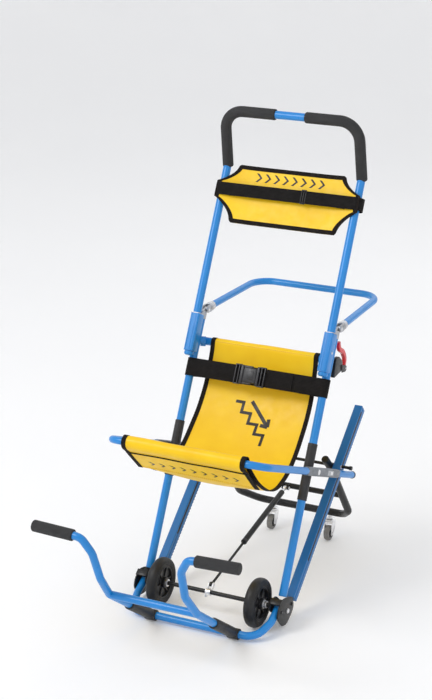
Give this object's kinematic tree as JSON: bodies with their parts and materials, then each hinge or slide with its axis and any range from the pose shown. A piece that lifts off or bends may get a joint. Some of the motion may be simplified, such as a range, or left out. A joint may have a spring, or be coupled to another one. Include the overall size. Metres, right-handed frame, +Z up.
{
  "type": "stair chair",
  "caption": "Folding evacuation chair: tube frame with telescoping push handle, cloth sling seat, track rails, kickstand with casters and carry handles.",
  "frame": {"origin": "floor level, in the middle of the width and of the length of the chair as it stands", "axes": "+Z up, -Y towards the front (foot) end, +X to the left of the sitter"},
  "size_m": [0.6452, 1.2705, 1.4399],
  "materials": {
    "blue_tube": "gloss",
    "blue_rail": "satin",
    "yellow_sling": "coated",
    "webbing": "matte",
    "foam_grip": "matte",
    "rubber_sleeve": "matte",
    "tyre": "matte",
    "black_plastic": "satin",
    "black_steel": "satin",
    "zinc_steel": "satin",
    "cast_alloy": "satin",
    "caster_rubber": "matte",
    "red_plastic": "gloss"
  },
  "bodies": {
    "frame": {"back_tube_left": "blue_tube", "back_tube_right": "blue_tube", "rubber_sleeve_left": "rubber_sleeve", "rubber_sleeve_right": "rubber_sleeve", "telescope_sleeve_left": "blue_tube", "telescope_sleeve_right": "blue_tube", "foot_bracket_left": "black_steel", "foot_bracket_right": "black_steel", "axle_nut_left": "zinc_steel", "axle_nut_right": "zinc_steel", "lift_socket_left": "cast_alloy", "lift_socket_right": "cast_alloy", "back_crossbar": "blue_tube", "foot_bar": "blue_tube", "axle": "black_steel", "axle_clamp": "zinc_steel", "lap_belt": "webbing", "lap_buckle": "black_plastic", "back_sling": "yellow_sling", "lever_housing": "black_plastic"},
    "handle": {"handle_tube": "blue_tube", "headrest": "yellow_sling", "head_strap": "webbing", "push_grip_left": "foam_grip", "push_grip_right": "foam_grip"},
    "seat": {"seat_frame": "blue_tube", "seat_sling": "yellow_sling", "arm_link_left": "cast_alloy", "arm_link_right": "cast_alloy", "arm_tail_left": "blue_tube", "arm_tail_right": "blue_tube"},
    "rails": {"track_rail_left": "blue_rail", "track_rail_right": "blue_rail", "track_belt_left": "rubber_sleeve", "track_belt_right": "rubber_sleeve", "cross_rod": "black_steel"},
    "kick": {"kickstand": "black_steel"},
    "strut_lower": {"strut_rod": "black_steel"},
    "strut_upper": {"strut_cylinder": "black_steel"},
    "rear_lift": {"rear_lift_handle": "blue_tube", "lift_knuckle_left": "cast_alloy", "lift_knuckle_right": "cast_alloy"},
    "front_lift": {"front_lift_handle": "blue_tube", "lift_sleeve_left": "rubber_sleeve", "lift_sleeve_right": "rubber_sleeve", "front_grip_left": "foam_grip", "front_grip_right": "foam_grip"},
    "lever": {"release_lever": "red_plastic"},
    "wheel_left": {"front_tyre_left": "tyre", "front_hub_left": "black_plastic"},
    "caster_left": {"caster_fork_left": "zinc_steel"},
    "caster_roller_left": {"caster_wheel_left": "caster_rubber"},
    "wheel_right": {"front_tyre_right": "tyre", "front_hub_right": "black_plastic"},
    "caster_right": {"caster_fork_right": "zinc_steel"},
    "caster_roller_right": {"caster_wheel_right": "caster_rubber"}
  },
  "joints": [
    {"name": "handle_slide", "type": "slide", "parent": "frame", "child": "handle", "axis": [0, 0.4415, 0.8973], "range_m": [-0.33, 0]},
    {"name": "seat_fold", "type": "hinge", "parent": "frame", "child": "seat", "pos_m": [0, 0.0518, 0.432], "axis": [1, 0, 0], "range_deg": [-84, 0]},
    {"name": "rail_fold", "type": "hinge", "parent": "frame", "child": "rails", "pos_m": [0, -0.1192, 0.048], "axis": [1, 0, 0], "range_deg": [0, 19]},
    {"name": "kick_fold", "type": "hinge", "parent": "rails", "child": "kick", "pos_m": [0, 0.2868, 0.363], "axis": [1, 0, 0], "range_deg": [-51.4, 0.1]},
    {"name": "strut_swing", "type": "hinge", "parent": "frame", "child": "strut_lower", "pos_m": [0, -0.1392, 0.092], "axis": [1, 0, 0], "range_deg": [-0.1, 20.56]},
    {"name": "strut_slide", "type": "slide", "parent": "strut_lower", "child": "strut_upper", "axis": [0, 0.9759, 0.2183], "range_m": [-0.1765, 0.0005]},
    {"name": "rear_lift_fold", "type": "hinge", "parent": "frame", "child": "rear_lift", "pos_m": [0, 0.2608, 0.817], "axis": [1, 0, 0], "range_deg": [0, 60]},
    {"name": "front_lift_fold", "type": "hinge", "parent": "frame", "child": "front_lift", "pos_m": [0, -0.2672, 0.0175], "axis": [1, 0, 0], "range_deg": [-30, 0]},
    {"name": "release_lever_pull", "type": "hinge", "parent": "frame", "child": "lever", "pos_m": [0.2315, 0.2918, 0.684], "axis": [1, 0, 0], "range_deg": [-10, 0], "stiffness_Nm_per_rad": 0.5, "springref_deg": 8.59},
    {"name": "wheel_spin_left", "type": "hinge", "parent": "frame", "child": "wheel_left", "pos_m": [0.162, -0.1592, 0.075], "axis": [1, 0, 0], "continuous": true},
    {"name": "caster_swivel_left", "type": "hinge", "parent": "kick", "child": "caster_left", "pos_m": [0.103, 0.5278, 0.07], "axis": [0, 0, 1], "continuous": true},
    {"name": "caster_spin_left", "type": "hinge", "parent": "caster_left", "child": "caster_roller_left", "pos_m": [0.103, 0.5158, 0.025], "axis": [1, 0, 0], "continuous": true},
    {"name": "wheel_spin_right", "type": "hinge", "parent": "frame", "child": "wheel_right", "pos_m": [-0.162, -0.1592, 0.075], "axis": [1, 0, 0], "continuous": true},
    {"name": "caster_swivel_right", "type": "hinge", "parent": "kick", "child": "caster_right", "pos_m": [-0.103, 0.5278, 0.07], "axis": [0, 0, 1], "continuous": true},
    {"name": "caster_spin_right", "type": "hinge", "parent": "caster_right", "child": "caster_roller_right", "pos_m": [-0.103, 0.5158, 0.025], "axis": [1, 0, 0], "continuous": true}
  ],
  "couplings": [
    {"joint": "kick_fold", "follows": "rail_fold", "ratio": -2.7},
    {"joint": "strut_swing", "follows": "rail_fold", "ratio": 1.0717},
    {"joint": "strut_slide", "follows": "rail_fold", "m_per_rad": -0.53071}
  ]
}
